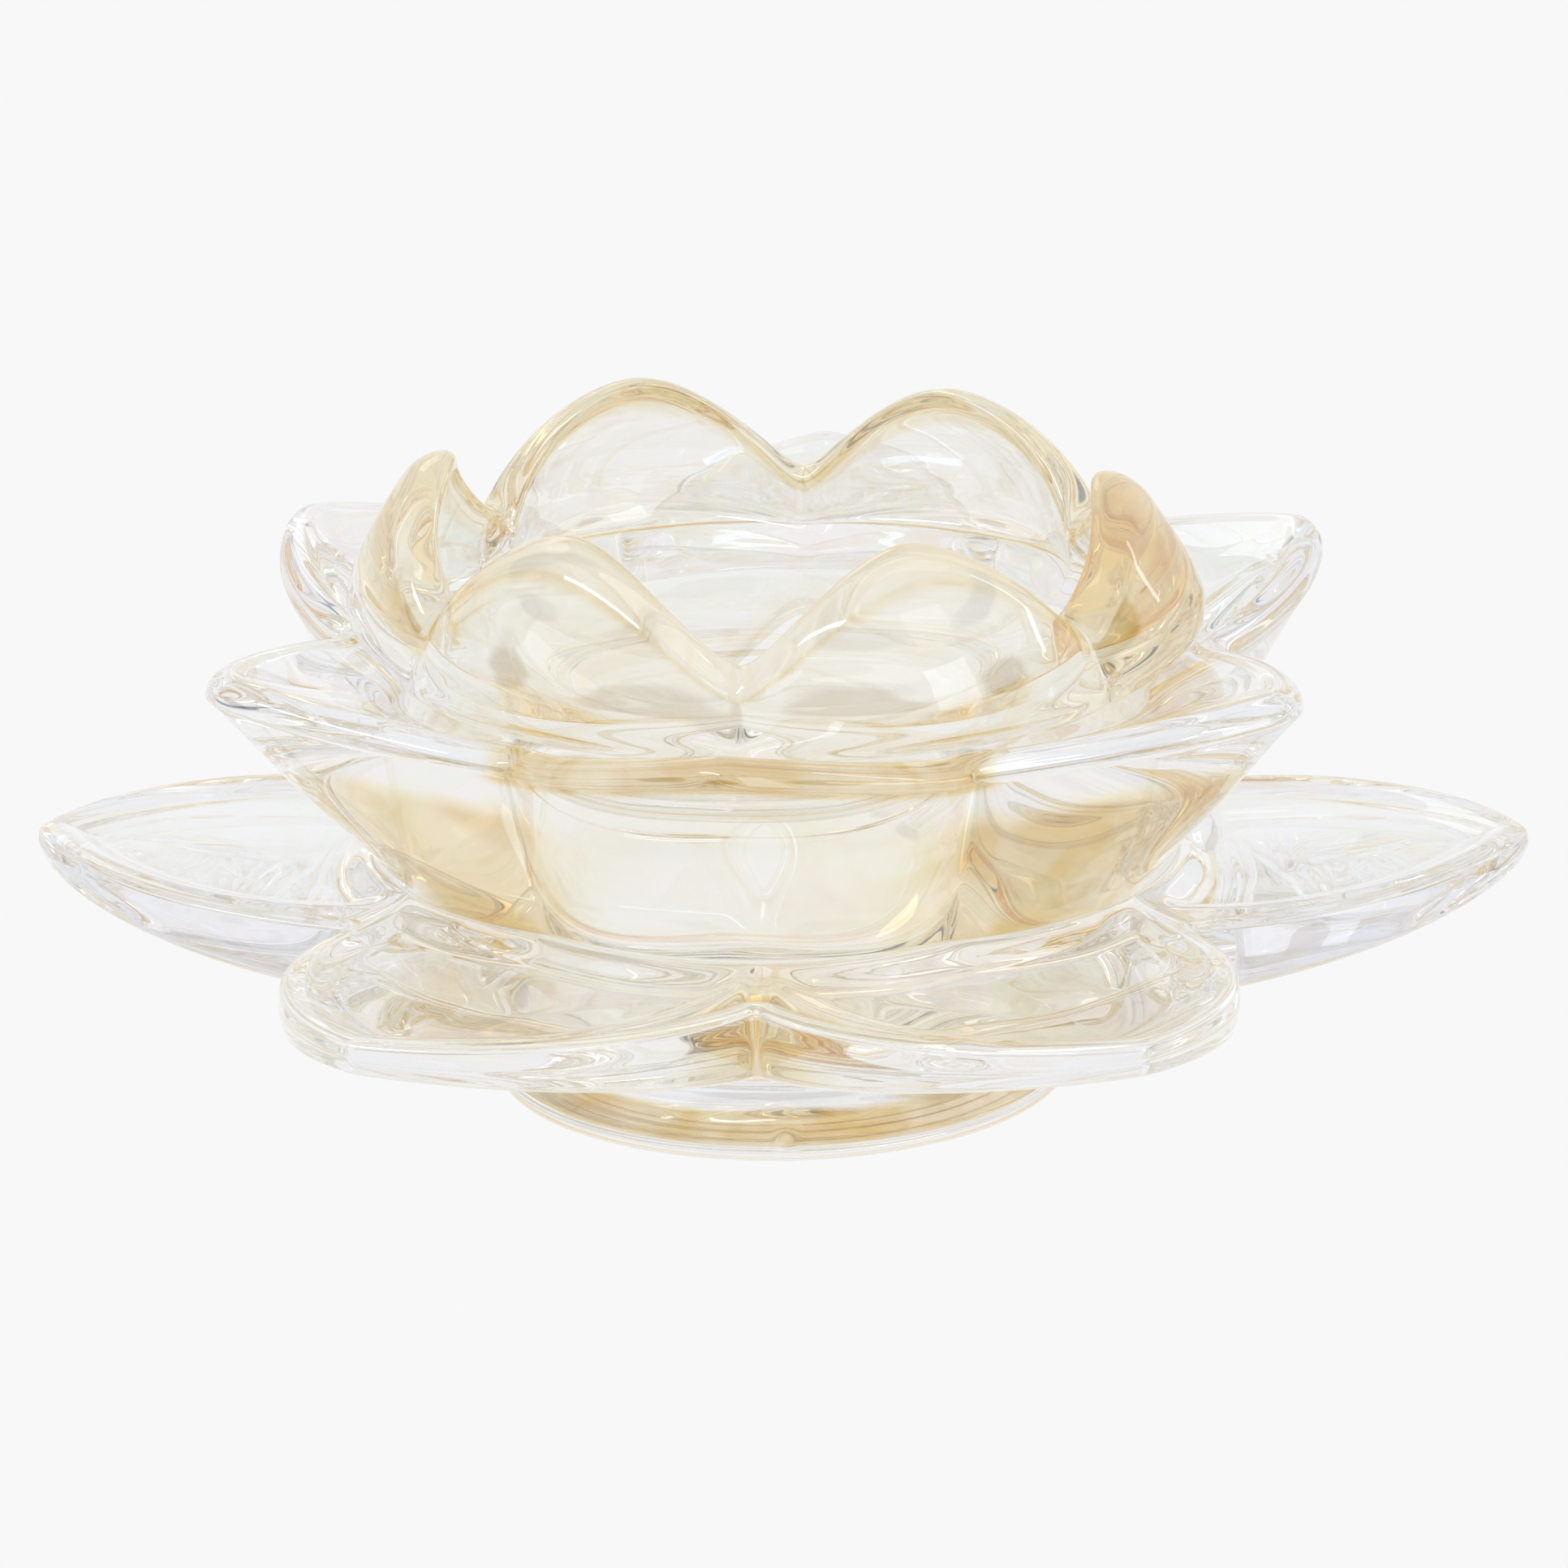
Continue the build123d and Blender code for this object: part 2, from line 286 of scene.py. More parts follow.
LOWER_BASE_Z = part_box("lower_petal_tier")[0].z / MM
LOWER_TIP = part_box("lower_petal_tier")[1].x / MM
LOWER_NOTCH = 46.0
LOWER_BOW = 6.6
LOWER_BASE_RADIUS = 30.0
LOWER_TIP_CREST = 24.8
LOWER_NOTCH_CREST = 22.3
LOWER_LIP = 1.6
LOWER_LIP_DROP = 0.95
LOWER_DISH = 1.5
LOWER_CURL, LOWER_CURL_POWER = 9.05, 1.25
LOWER_GROW = 0.33                 # makes up for what the tips' rounding takes off
LOWER_UNDER_ROUND = 0.5
LOWER_UNDER_INSET = 0.95
BEAD_AT = 287.0                   # a bead of glass squeezed out at the mould's parting
BEAD_SIZE, BEAD_WIDTH = 0.7, 1.5
FRONT_AT = 270.0                  # the side where the painted cream and amber, partly lustre and partly painted light, lies thickest
SEAT_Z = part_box("middle_bond")[0].z / MM
SEAT_TIP, SEAT_NOTCH, SEAT_BOW = 41.0, 37.6, 1.6


def under_lower(reach):
    """Height of the lower tier's underside, which curls up towards the petal tips."""
    span = np.clip((reach - LOWER_BASE_RADIUS) / (LOWER_TIP - LOWER_BASE_RADIUS), 0, 2)
    return LOWER_BASE_Z + LOWER_CURL * span ** LOWER_CURL_POWER


def seat_outline(azimuth, inset):
    """Radius of the middle tier's base outline, drawn in by inset."""
    turn = from_middle(azimuth, HALF + UPPER_TURN, math.radians(14), math.radians(1.5))
    return pointed(turn, SEAT_TIP, SEAT_NOTCH, SEAT_BOW) - inset


def lower_skin():
    """Six broad flat petals, each dished inside a raised rounded lip.

    The top is a crest surface, from the seat's height to the edge's, less a dish whose depth
    grows with the distance from the petal's edge and from the seat.  The edge is a quarter
    round, a slightly bulging face and a small round under it.  The front petals are painted
    cream, with painted shade deepest in the crease between them, and the others' edges are
    violet-white: partly lustre and partly painted reflection.
    """
    azimuth = round_flower(84)
    skin = Skin(azimuth)
    turn = from_middle(azimuth, 0, math.radians(0.35), math.radians(0.5))
    exact = from_middle(azimuth, 0)
    shape = (LOWER_TIP + LOWER_GROW, LOWER_NOTCH, LOWER_BOW)
    edge = pointed(turn, *shape)
    edge_x, edge_y = edge * np.cos(azimuth), edge * np.sin(azimuth)
    out_x, out_y = outward(edge_x, edge_y)
    rise = (edge - LOWER_NOTCH) / (LOWER_TIP - LOWER_NOTCH)
    crest = LOWER_NOTCH_CREST + (LOWER_TIP_CREST - LOWER_NOTCH_CREST) * rise
    seat = seat_outline(azimuth, AIR_LINE)
    # front, heart and cool mask the painted tint: cream on the front, painted shade in the crease
    # between the front petals, violet-white elsewhere
    front = near_angle(azimuth, FRONT_AT, 48)
    heart = near_angle(azimuth, FRONT_AT, 9)
    cool = -0.85 * (1 - front)
    bead = BEAD_SIZE * near_angle(azimuth, BEAD_AT, BEAD_WIDTH)
    lip_x, lip_y = edge_x - LOWER_LIP * out_x, edge_y - LOWER_LIP * out_y
    lip_reach = np.hypot(lip_x, lip_y)

    skin.polar(0, SEAT_Z)
    for share in np.linspace(0, 1, 8)[1:]:
        skin.polar(seat * share, SEAT_Z, bonded=True)
    for t in np.linspace(0, 1, 56)[1:]:
        x = seat * np.cos(azimuth) * (1 - t) + lip_x * t
        y = seat * np.sin(azimuth) * (1 - t) + lip_y * t
        reach = np.hypot(x, y)
        side = inside_side(reach, exact, *shape)
        lift = 0.55 * smoothed((reach - seat) / 0.9) * (1 - smoothed((reach - seat) / 4.5))
        height = SEAT_Z + (crest - SEAT_Z) * t + lift * (1 - t)
        hollow = smoothed((side - 1.5) / 4.2) * smoothed((reach - seat - 1.2) / 4.0)
        deepening = 0.75 + 0.5 * smoothed(side / 14)
        # dish: painted tint, with amber painted reflection where the dish nears the petal's edge
        amount = 0.25 * front + 0.3 * heart + 0.3 * cool + 0.5 * smoothed((1.2 - side) / 0.8)
        skin.ring(x, y, height - LOWER_DISH * hollow * deepening, lustre=amount)
    for t in np.linspace(0, 1, 12)[1:]:
        lean = t * math.pi / 2
        inset = LOWER_LIP * (1 - math.sin(lean))
        drop = LOWER_LIP_DROP * (1 - math.cos(lean))
        inset = inset - bead * t
        skin.ring(edge_x - inset * out_x, edge_y - inset * out_y, crest - drop + 0.6 * bead,
                  lustre=0.4 * (1 - t) + cool * t)
    arris = crest - LOWER_LIP_DROP
    low = under_lower(edge) + LOWER_UNDER_ROUND
    for t in np.linspace(0, 1, 14)[1:]:
        bulge = 0.25 * math.sin(math.pi * t) - 0.35 * t + bead * smoothed(1 - 2.5 * t)
        skin.ring(edge_x + bulge * out_x, edge_y + bulge * out_y, arris + (low - arris) * t,
                  # edge face: painted violet-white away from the front, painted shade in the
                  # front crease
                  lustre=cool + 0.8 * heart)
    for t in np.linspace(0, 1, 7)[1:]:
        lean = t * math.pi / 2
        inset = 0.35 + 0.6 * (1 - math.cos(lean))
        x, y = edge_x - inset * out_x, edge_y - inset * out_y
        skin.ring(x, y, low - LOWER_UNDER_ROUND * math.sin(lean), lustre=0.3)
    under_x, under_y = edge_x - LOWER_UNDER_INSET * out_x, edge_y - LOWER_UNDER_INSET * out_y
    reach_in = np.hypot(under_x, under_y)
    base = FOOT_TOP_RADIUS - AIR_LINE
    shift = under_lower(edge) - under_lower(reach_in)
    for t in np.linspace(0, 1, 36)[1:]:
        x = under_x * (1 - t) + base * np.cos(azimuth) * t
        y = under_y * (1 - t) + base * np.sin(azimuth) * t
        skin.ring(x, y, under_lower(np.hypot(x, y)) + shift * (1 - smoothed(t * 5)),
                  lustre=0.3 * front + 0.5 * cool)
    for share in (0.75, 0.5, 0.25, 0):
        skin.polar(base * share, LOWER_BASE_Z, bonded=True)
    return skin


# ---------------------------------------------------------------- the middle tier

MIDDLE_BASE_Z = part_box("middle_petal_tier")[0].z / MM
MIDDLE_RIM_TIP = 59.9
MIDDLE_RIM_NOTCH = 43.3
MIDDLE_RIM_BOW = 2.7
MIDDLE_ARRIS_TIP = 46.1
MIDDLE_ARRIS_NOTCH = 41.4
MIDDLE_TIP_LIFTS = (0.0, 0.0, 0.0, 0.0, 1.8, -0.4)   # the pressed petals aren't quite alike
MIDDLE_FLARE = 1.1
MIDDLE_GROW = 0.4                 # makes up for what the tips' rounding takes off
MIDDLE_BELLY = 0.9
MIDDLE_FRONT_AT = 267.6           # middle of the front petal
RIM_ROUND = 2.5
RIM_LIP, RIM_LIP_HIGH = 1.3, 0.55
LAND_Z = 43.3
LAND_REACH = 37.8
SOCKET_RADIUS = 36.0
SOCKET_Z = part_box("cup_bond")[0].z / MM


def middle_skin():
    """Thick bowl whose six petals flare outwards, with a rounded rim and a shallow dish.

    The outer face goes from base outline to rim outline by a power of height that is 1 at
    the creases and MIDDLE_FLARE at the petals' middles, and the front petal loses its ridge
    just below the rim.  The rim is a quarter round outside and a small round inside, and the
    dish sinks from there to the land round the socket.  The front rim and the faces beside
    it are painted amber, with painted shade in the creases, and the rest is violet-white:
    partly lustre and partly painted reflection.
    """
    azimuth = round_flower(84)
    skin = Skin(azimuth)
    start = HALF + UPPER_TURN
    turn = from_middle(azimuth, start, math.radians(2.5), math.radians(0.7))
    base = seat_outline(azimuth, 0)
    shape = (MIDDLE_RIM_TIP + MIDDLE_GROW, MIDDLE_RIM_NOTCH, MIDDLE_RIM_BOW)
    rim = pointed(turn, *shape)
    rim_x, rim_y = rim * np.cos(azimuth), rim * np.sin(azimuth)
    out_x, out_y = outward(rim_x, rim_y)
    rise = (rim - MIDDLE_RIM_NOTCH) / (MIDDLE_RIM_TIP - MIDDLE_RIM_NOTCH)
    lift = by_petal(azimuth, start, MIDDLE_TIP_LIFTS) * rise
    arris = MIDDLE_ARRIS_NOTCH + (MIDDLE_ARRIS_TIP - MIDDLE_ARRIS_NOTCH) * rise + lift
    high = RIM_ROUND * (0.9 + 0.1 * rise)
    # crease, front, sides and away mask the painted tint; front also takes the ridge off the
    # front petal
    crease = smoothed(1 - (HALF - from_middle(azimuth, start)) / math.radians(5))
    soft = pointed(from_middle(azimuth, start, math.radians(16), math.radians(0.7)), *shape)
    front = smoothed((35 - np.abs(np.degrees(azimuth) - MIDDLE_FRONT_AT)) / 6)
    sides = near_angle(azimuth, 227, 15) + near_angle(azimuth, 314, 22)
    away = 1 - near_angle(azimuth, MIDDLE_FRONT_AT, 75)

    skin.polar(0, SOCKET_Z)
    for share in (0.3, 0.6, 0.8, 1.0):
        skin.polar(SOCKET_RADIUS * share, SOCKET_Z, bonded=True)
    for t in (0.25, 0.5, 0.75, 1.0):
        skin.polar(SOCKET_RADIUS, SOCKET_Z + (LAND_Z - SOCKET_Z) * t, bonded=True)
    skin.polar(LAND_REACH, LAND_Z, bonded=True)
    crest = arris + high
    crest_x, crest_y = rim_x - RIM_ROUND * out_x, rim_y - RIM_ROUND * out_y
    lip = RIM_ROUND + RIM_LIP
    lip_x, lip_y = rim_x - lip * out_x, rim_y - lip * out_y
    lip_z = crest - RIM_LIP_HIGH
    for t in np.linspace(0, 1, 34)[1:]:
        x = LAND_REACH * np.cos(azimuth) * (1 - t) + lip_x * t
        y = LAND_REACH * np.sin(azimuth) * (1 - t) + lip_y * t
        climb = 0.55 * t + 0.45 * t * t
        skin.ring(x, y, LAND_Z + (lip_z - LAND_Z) * climb, lustre=-0.4 * away)
    for t in np.linspace(0, 1, 10)[1:]:
        inset = RIM_ROUND + RIM_LIP * (1 - t)
        bump = math.sin(t * math.pi / 2) ** 1.3
        skin.ring(rim_x - inset * out_x, rim_y - inset * out_y, lip_z + RIM_LIP_HIGH * bump,
                  lustre=0.2 + 0.7 * front)
    for t in np.linspace(0, 1, 18)[1:]:
        lean = t * math.pi / 2
        inset = RIM_ROUND * (1 - math.sin(lean))
        fall = crest - high * (1 - math.cos(lean))
        amount = front * (0.7 + 0.6 * math.sin(lean) ** 0.5) - 0.7 * away
        skin.ring(rim_x - inset * out_x, rim_y - inset * out_y, fall, lustre=amount)
    power = 1 + (MIDDLE_FLARE - 1) * smoothed(rise)
    for t in np.linspace(0, 1, 48)[1:]:
        share = (1 - t) ** power
        belly = MIDDLE_BELLY * rise * math.sin(math.pi * t) ** 2
        ridge = share + front * ((1 - t) ** 6 - share)
        reach = base + (soft - base) * share + (rim - soft) * ridge + belly
        z = MIDDLE_BASE_Z + (arris - MIDDLE_BASE_Z) * (1 - t)
        # outer face: painted tint, amber on the front and side faces, painted shade in the
        # creases, violet-white elsewhere
        amount = 1.25 * sides * smoothed(t * 4 - 0.4) + 1.3 * front * smoothed(1 - t * 12)
        amount = amount + 0.25 * front - 0.5 * away * (1 - sides) + 0.6 * crease * (1 - front)
        skin.polar(reach, z, lustre=amount)
    for share in (1, 0.75, 0.5, 0.25, 0):
        skin.polar((base - AIR_LINE) * share, MIDDLE_BASE_Z, bonded=share < 1)
    return skin


# ---------------------------------------------------------------- the inner cup

BOND = 0.15                       # thickness of the adhesive film
CUP_BASE_Z = LAND_Z + BOND
CUP_FLOOR_Z = frame["record"]["mounts"][0]["pos_m"][2] / MM
CUP_APEX_Z = 61.9
CUP_DROP = 12.9                   # from apex to notch, before the notch is rounded
CUP_ARCH = 1.85
CUP_APEX_LIFTS = (-1.3, -0.9, 0.1, 0.1, 0.0, -0.3)
CUP_INNER_FILLET = 2.4
CUP_LEAN = -0.05                  # sideways step per height: it is bonded a little askew
CUP_RIM = 2.5
PLUG_RADIUS = 35.85
PLUG_Z = SOCKET_Z + BOND
# height, radius at the petal's middle, radius at the crease between petals
CUP_OUTSIDE = (
    (CUP_BASE_Z, 38.7, 38.1), (45.0, 40.7, 37.9), (47.5, 41.6, 37.0), (50.5, 40.9, 35.8),
    (54.0, 39.1, 34.3), (58.0, 36.6, 32.4), (61.5, 34.0, 30.4), (65.0, 31.0, 28.0),
)
CUP_INSIDE = (
    (CUP_FLOOR_Z, 32.8, 30.3), (46.0, 35.2, 31.7), (49.0, 35.9, 31.5), (52.0, 35.4, 30.8),
    (55.5, 33.9, 29.9), (59.0, 31.4, 28.3), (62.0, 29.0, 26.6), (66.0, 25.6, 24.0),
)


def cup_wall(profile, turn, z):
    """Radius of one side of the cup's wall: round lobes whose size follows the profile."""
    middle = curve_through([(row[0], row[1]) for row in profile], z)
    crease = curve_through([(row[0], row[2]) for row in profile], z)
    return lobed(turn, middle, crease)


def askew(z):
    """How far the leaning cup stands sideways at a height."""
    return CUP_LEAN * np.maximum(z - CUP_FLOOR_Z, 0.0)


def cup_skin():
    """Six petals that bulge and curl inwards, on a plug that fills the socket.

    Each wall is a stack of round lobes.  The rim's height falls from the petal's middle to
    the crease by a power of the turn, and the rim itself swings from the inner wall to the
    outer one along half an ellipse.  The right petal is painted amber, the left one goes from
    amber above to violet-white below, and the front ones are cream: partly lustre and partly
    painted reflection.
    """
    azimuth = round_flower(80)
    skin = Skin(azimuth)
    turn = from_middle(azimuth, UPPER_TURN, 0.0, math.radians(0.9))
    arch = from_middle(azimuth, UPPER_TURN, math.radians(1.0), math.radians(3.2)) / HALF
    arch = arch ** CUP_ARCH
    lift = by_petal(azimuth, UPPER_TURN, CUP_APEX_LIFTS) * (1 - arch)
    rim = CUP_APEX_Z - CUP_DROP * arch + lift
    shoulder = rim - CUP_RIM

    skin.polar(0, CUP_FLOOR_Z)
    floor = cup_wall(CUP_INSIDE, turn, CUP_FLOOR_Z)
    for share in (0.2, 0.4, 0.6, 0.75, 0.88):
        skin.polar(floor * share, CUP_FLOOR_Z)
    for t in np.linspace(0, 1, 8):
        lean = t * math.pi / 2
        z = CUP_FLOOR_Z + CUP_INNER_FILLET * (1 - math.cos(lean))
        wall = cup_wall(CUP_INSIDE, turn, z)
        skin.polar(wall - CUP_INNER_FILLET * (1 - math.sin(lean)), z, shift=askew(z))
    low = CUP_FLOOR_Z + CUP_INNER_FILLET
    # front marks the cream-painted front petals, partly lustre and partly painted reflection
    front = near_angle(azimuth, MIDDLE_FRONT_AT, 52)
    for t in np.linspace(0, 1, 48)[1:]:
        z = low + (shoulder - low) * t ** 1.15
        skin.polar(cup_wall(CUP_INSIDE, turn, z), z, lustre=0.06 + 0.26 * front, shift=askew(z))
    # right and left mark the amber and violet-white painted petals, partly lustre and partly
    # painted reflection
    right = near_angle(azimuth, 350, 26)
    left = near_angle(azimuth, 190, 22)
    for t in np.linspace(0, 1, 22)[1:-1]:
        swing = math.pi * t
        z = shoulder + CUP_RIM * math.sin(swing) ** 0.92
        inner, outer = cup_wall(CUP_INSIDE, turn, z), cup_wall(CUP_OUTSIDE, turn, z)
        reach = (inner + outer) / 2 - (outer - inner) / 2 * math.cos(swing)
        # rim: painted amber, paler on the front and deeper on the right
        skin.polar(reach, z, lustre=0.6 - 0.15 * front + 0.3 * right, shift=askew(z))
    for t in np.linspace(0, 1, 64):
        z = shoulder + (CUP_BASE_Z - shoulder) * t
        # outside: painted tint, amber right petal, left petal amber above and violet-white below,
        # cream front, amber just under the rim
        amber = 1.2 * right * smoothed(0.4 + 2 * t) + 1.1 * left * smoothed(1.3 - 2.4 * t)
        violet = left * smoothed(2 * t - 0.8)
        amount = 0.06 + 0.28 * front + amber - violet + 0.45 * smoothed(1 - 12 * t)
        skin.polar(cup_wall(CUP_OUTSIDE, turn, z), z, lustre=amount, shift=askew(z))
    skin.polar(LAND_REACH, CUP_BASE_Z)
    skin.polar(PLUG_RADIUS, CUP_BASE_Z, bonded=True)
    for t in (0.33, 0.66, 1.0):
        skin.polar(PLUG_RADIUS, CUP_BASE_Z + (PLUG_Z - CUP_BASE_Z) * t, bonded=True)
    for share in (0.75, 0.5, 0.25, 0):
        skin.polar(PLUG_RADIUS * share, PLUG_Z, bonded=True)
    return skin


# ---------------------------------------------------------------- materials

class Amount:
    """A number that varies over a surface; + - * on it add Math nodes."""

    def __init__(self, paint, socket):
        self.paint, self.socket = paint, socket

    def _math(self, operation, first, second):
        return self.paint.node("ShaderNodeMath", {"operation": operation}, {0: first, 1: second})

    def __add__(self, other):
        return self._math("ADD", self, other)

    __radd__ = __add__

    def __sub__(self, other):
        return self._math("SUBTRACT", self, other)

    def __rsub__(self, other):
        return self._math("SUBTRACT", other, self)

    def __mul__(self, other):
        return self._math("MULTIPLY", self, other)

    __rmul__ = __mul__


class Paint:
    """One material's tree of nodes."""

    def __init__(self, name):
        self.material = bpy.data.materials.new(name)
        self.material.use_nodes = True
        self.tree = self.material.node_tree
        self.tree.nodes.clear()

    def node(self, kind, settings=None, sockets=None, output=0):
        """Adds a node, applies its settings, fills its sockets and gives back one output."""
        made = self.tree.nodes.new(kind)
        for key, value in (settings or {}).items():
            if key == "stops":
                ramp = made.color_ramp
                while len(ramp.elements) < len(value):
                    ramp.elements.new(0.5)
                for element, (place, colour) in zip(ramp.elements, value):
                    element.position, element.color = place, (*colour, 1)
            else:
                setattr(made, key, value)
        for key, value in (sockets or {}).items():
            if isinstance(value, Amount):
                self.tree.links.new(value.socket, made.inputs[key])
            else:
                made.inputs[key].default_value = value
        return Amount(self, made.outputs[output]) if made.outputs else None

    def mix(self, share, first, second):
        """Colour between two others."""
        settings = {"data_type": "RGBA"}
        sockets = {0: share, 6: first, 7: second}
        return self.node("ShaderNodeMix", settings, sockets, output=2)

    def noise(self, place, scale, detail=2.0, twist=0.0):
        """Cloudy pattern between 0 and 1."""
        sockets = {"Vector": place, "Scale": scale, "Detail": detail, "Distortion": twist}
        return self.node("ShaderNodeTexNoise", {}, sockets)

    def over(self, value, low, high):
        """0 below low, 1 above high, with an even S between."""
        settings = {"interpolation_type": "SMOOTHSTEP"}
        sockets = {"Value": value, "From Min": low, "From Max": high}
        return self.node("ShaderNodeMapRange", settings, sockets)

    def finish(self, shader):
        """The finished material, showing this shader."""
        self.node("ShaderNodeOutputMaterial", {}, {"Surface": shader})
        return self.material

    def glow(self, tone, strength):
        """A finished material that gives off one grey tone."""
        sockets = {"Color": (tone, tone, tone, 1), "Strength": strength}
        return self.finish(self.node("ShaderNodeEmission", {}, sockets))


GLASS_IOR = 1.52
FILM_IOR = 2.1
FILM_NANOMETRES = 45.0
VEIL = 0.04                       # share of light that the glass scatters
# tints of what passes and of what turns back inside: violet-white, clear, cream, amber
SEEN_THROUGH = (
    (0.22, (0.895, 0.900, 0.970)), (0.27, (0.960, 0.870, 0.910)), (0.31, (0.900, 0.950, 0.860)),
    (0.36, (0.940, 0.940, 0.965)), (0.5, (0.978, 0.972, 0.964)), (0.62, (0.972, 0.943, 0.850)),
    (0.8, (0.890, 0.715, 0.345)), (1.0, (0.640, 0.330, 0.030)),
)
TURNED_BACK = (
    (0.0, (0.965, 0.970, 0.990)), (0.5, (0.986, 0.984, 0.978)), (0.62, (0.990, 0.968, 0.898)),
    (1.0, (0.950, 0.730, 0.285)),
)


def lustre_glass(name, cloudy):
    """Clear pressed glass whose lustre tints what passes and, more, what it turns back inside.

    Both tints run from violet-white through clear and cream to amber with the painted amount,
    which stands partly for the lustre's thickness and partly for painted reflection and shade,
    and clouds stir it by the share cloudy.  Inside the glass a second, metal-like
    share stands for the lustre film behind the surface, by as much as the surface turns
    light back.
    """
    paint = Paint(name)
    place = paint.node("ShaderNodeTexCoord", output=3)
    drift = paint.over(paint.noise(place, 60.0, 2.0, 1.5), 0.3, 0.65)
    cloud = paint.noise(place, 38.0, 3.0, 0.6) - 0.5
    amount = paint.node("ShaderNodeAttribute", {"attribute_name": "lustre"}, output=2)
    tint_amount = 0.5 + 0.5 * amount * (0.7 + 0.3 * drift) + cloudy * cloud
    tint = paint.node("ShaderNodeValToRGB", {"stops": SEEN_THROUGH}, {"Fac": tint_amount})
    glass = paint.node("ShaderNodeBsdfPrincipled", {}, {
        "Base Color": tint, "Roughness": 0.0, "IOR": GLASS_IOR,
        "Transmission Weight": 1.0 - VEIL,
        "Thin Film Thickness": FILM_NANOMETRES, "Thin Film IOR": FILM_IOR,
    })
    behind = paint.node("ShaderNodeValToRGB", {"stops": TURNED_BACK}, {"Fac": tint_amount})
    film = paint.node("ShaderNodeBsdfPrincipled", {}, {
        "Base Color": behind, "Metallic": 1.0, "Roughness": 0.0,
    })
    fresnel = paint.node("ShaderNodeFresnel", {}, {"IOR": GLASS_IOR})
    inside = paint.node("ShaderNodeNewGeometry", output=6)
    share = fresnel * inside
    both = paint.node("ShaderNodeMixShader", {}, {0: share, 1: glass, 2: film})
    return paint.finish(both)


def bonded_glass():
    """Glass wetted by clear adhesive: it bends and turns back no light."""
    paint = Paint("bonded glass")
    place = paint.node("ShaderNodeTexCoord", output=3)
    cloud = paint.noise(place, 60.0)
    return paint.finish(paint.node("ShaderNodeBsdfPrincipled", {}, {
        "Base Color": paint.mix(cloud, (0.9, 0.9, 0.86, 1), (1.0, 0.98, 0.92, 1)),
        "Roughness": 0.05, "Alpha": 0.004 * cloud,
    }))


def clear_adhesive():
    """Cured clear adhesive film, with faint clouds where it is thicker."""
    paint = Paint("clear adhesive")
    place = paint.node("ShaderNodeTexCoord", output=3)
    cloud = paint.noise(place, 90.0, 4.0)
    return paint.finish(paint.node("ShaderNodeBsdfPrincipled", {}, {
        "Base Color": paint.mix(cloud, (0.9, 0.92, 0.86, 1), (1.0, 1.0, 0.96, 1)),
        "Roughness": 0.08, "Alpha": 0.01 * cloud,
    }))


# ---------------------------------------------------------------- the pieces

glass = lustre_glass("lustre glass", 0.12)
cup_glass = lustre_glass("cup lustre glass", 0.08)
bonded = bonded_glass()
adhesive = clear_adhesive()

for name, skin, node, finish in (
    ("foot_glass", foot_skin(), "foot", glass),
    ("lower_petals_glass", lower_skin(), "lower_petal_tier", glass),
    ("middle_petals_glass", middle_skin(), "middle_petal_tier", glass),
    ("inner_cup_glass", cup_skin(), "inner_petal_cup", cup_glass),
):
    piece = skin.build(name, (finish, bonded))
    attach(piece, "root")
    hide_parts(node)

for node in ("foot_bond", "middle_bond", "cup_bond"):
    bond = frame["nodes"][node]
    bond.data.materials.clear()
    bond.data.materials.append(adhesive)


# ---------------------------------------------------------------- floor, light, camera

PALE = 0.939                      # glow of the floor
TENT = 0.98                       # glow of the tent all round
FLOOR_REACH = 6.0
FLOOR_GAP = 0.0002                # keeps the floor clear of the foot's base
AIM = Vector((0.00043, 0.00002, 0.02881))


def sheet(name, half_wide, half_deep):
    """Flat rectangle round the origin, facing up."""
    w, d = half_wide, half_deep
    mesh = bpy.data.meshes.new(name)
    mesh.from_pydata([(-w, -d, 0), (w, -d, 0), (w, d, 0), (-w, d, 0)], [], [(0, 1, 2, 3)])
    made = bpy.data.objects.new(name, mesh)
    bpy.context.scene.collection.objects.link(made)
    return made


def card(name, centre, size):
    """Stage card that faces the object, unseen by the camera."""
    made = sheet(name, size[0] / 2, size[1] / 2)
    made.location = centre
    made.rotation_mode = "QUATERNION"
    made.rotation_quaternion = (AIM - Vector(centre)).to_track_quat("Z", "Y")
    made.visible_camera = False
    return made


def softbox(name, centre, size, strength):
    """Bright card with crisp edges."""
    card(name, centre, size).data.materials.append(Paint(name).glow(1.0, strength))


def flag(name, centre, size, darkness):
    """Dark card: it glows like the tent, less a bell of darkness that is gone at its edge."""
    made = card(name, centre, size)
    paint = Paint(name)
    place = paint.node("ShaderNodeTexCoord", output=3)
    to_edge = (2 / size[0], 2 / size[1], 0)
    scaled = paint.node("ShaderNodeVectorMath", {"operation": "MULTIPLY"}, {0: place, 1: to_edge})
    away = paint.node("ShaderNodeVectorMath", {"operation": "LENGTH"}, {0: scaled}, output=1)
    bell = 1 - paint.over(away, 0.6, 1.0)
    made.data.materials.append(paint.glow(TENT, 1 - darkness * bell))


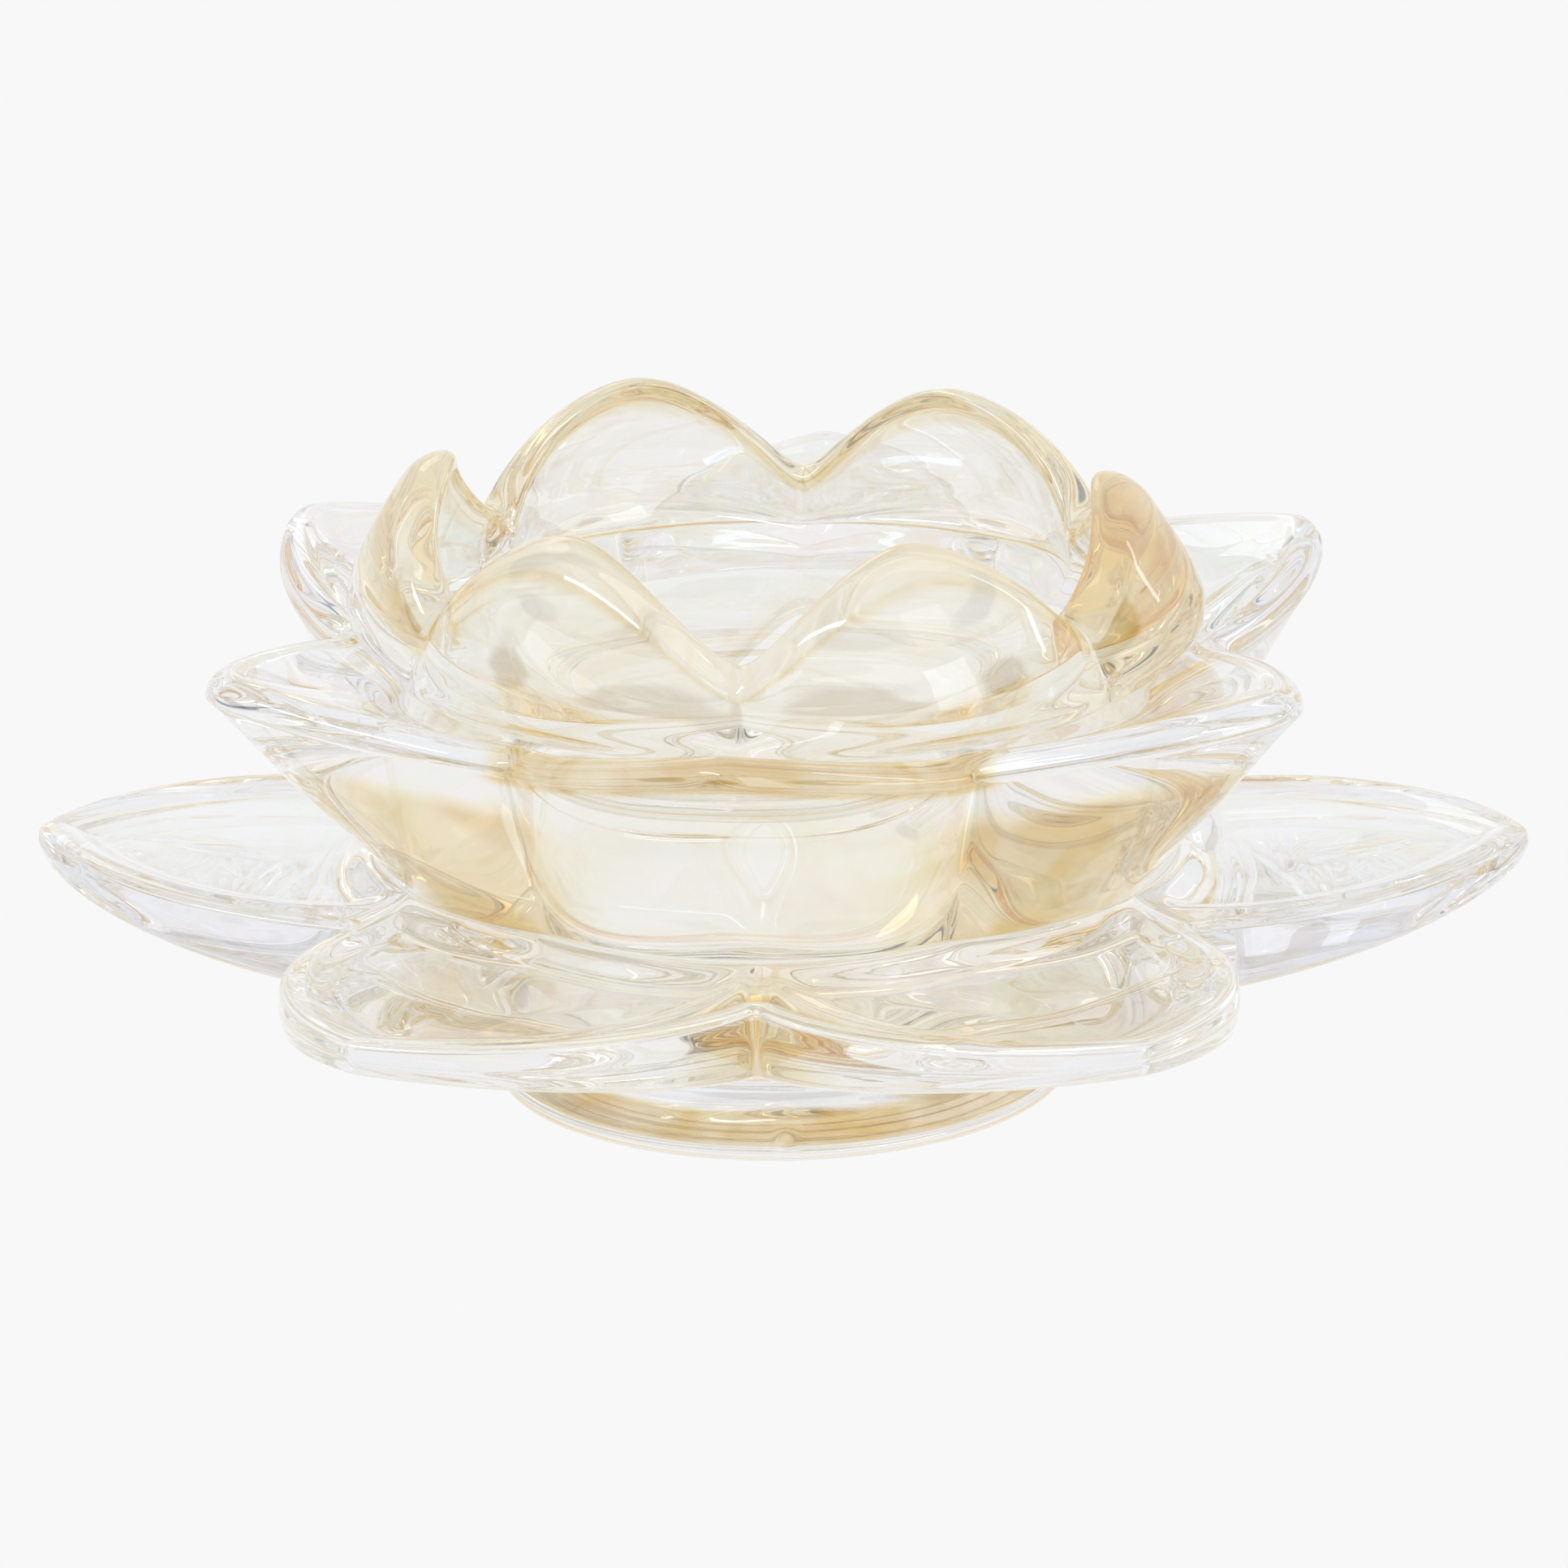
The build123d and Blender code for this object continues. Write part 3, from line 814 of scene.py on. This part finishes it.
floor = sheet("floor", FLOOR_REACH, FLOOR_REACH)
floor.location.z = -FLOOR_GAP
floor.data.materials.append(Paint("pale floor").glow(PALE, 1.0))

world = bpy.data.worlds.new("light tent")
bpy.context.scene.world = world
world.use_nodes = True
tent = world.node_tree.nodes["Background"]
tent.inputs["Color"].default_value = (TENT, TENT, TENT, 1)

softbox("right_softbox", (0.93, -0.73, 0.42), (0.5, 0.8), 1.45)
softbox("back_softbox", (-0.5, 1.3, 0.9), (0.5, 0.5), 1.4)
softbox("top_strip", (-0.5, -0.7, 1.1), (1.1, 0.1), 4.0)
softbox("side_strip", (1.2, 0.5, 0.7), (0.07, 0.8), 2.2)
flag("front_flag", (0.0, -1.5, 0.45), (2.6, 0.7), 0.75)
flag("left_flag", (-1.3, -0.3, 0.45), (0.8, 0.5), 0.9)
flag("right_flag", (1.3, -0.2, 0.45), (0.8, 0.5), 0.9)

VIEW_DISTANCE = 0.89228
VIEW_AZIMUTH = math.radians(3.1)
VIEW_ELEVATION = math.radians(18.15)
VIEW_ROLL = math.radians(0.89)

camera_data = bpy.data.cameras.new("camera")
camera_data.sensor_width = 36.0
camera_data.lens = 210.36
camera_data.clip_start, camera_data.clip_end = 0.01, 50.0
camera = bpy.data.objects.new("camera", camera_data)
bpy.context.scene.collection.objects.link(camera)
back = Vector((
    math.sin(VIEW_AZIMUTH) * math.cos(VIEW_ELEVATION),
    -math.cos(VIEW_AZIMUTH) * math.cos(VIEW_ELEVATION),
    math.sin(VIEW_ELEVATION),
))
camera.location = AIM + back * VIEW_DISTANCE
camera.rotation_mode = "QUATERNION"
level = (-back).to_track_quat("-Z", "Y")
camera.rotation_quaternion = level @ Quaternion((0, 0, 1), -VIEW_ROLL)
bpy.context.scene.camera = camera

scene = bpy.context.scene
scene.view_settings.view_transform = "Standard"
GLASS_BOUNCES = 32                # light crosses many walls of glass before it leaves
scene.cycles.max_bounces = GLASS_BOUNCES
scene.cycles.transmission_bounces = GLASS_BOUNCES
scene.cycles.transparent_max_bounces = GLASS_BOUNCES
scene.cycles.glossy_bounces = 24
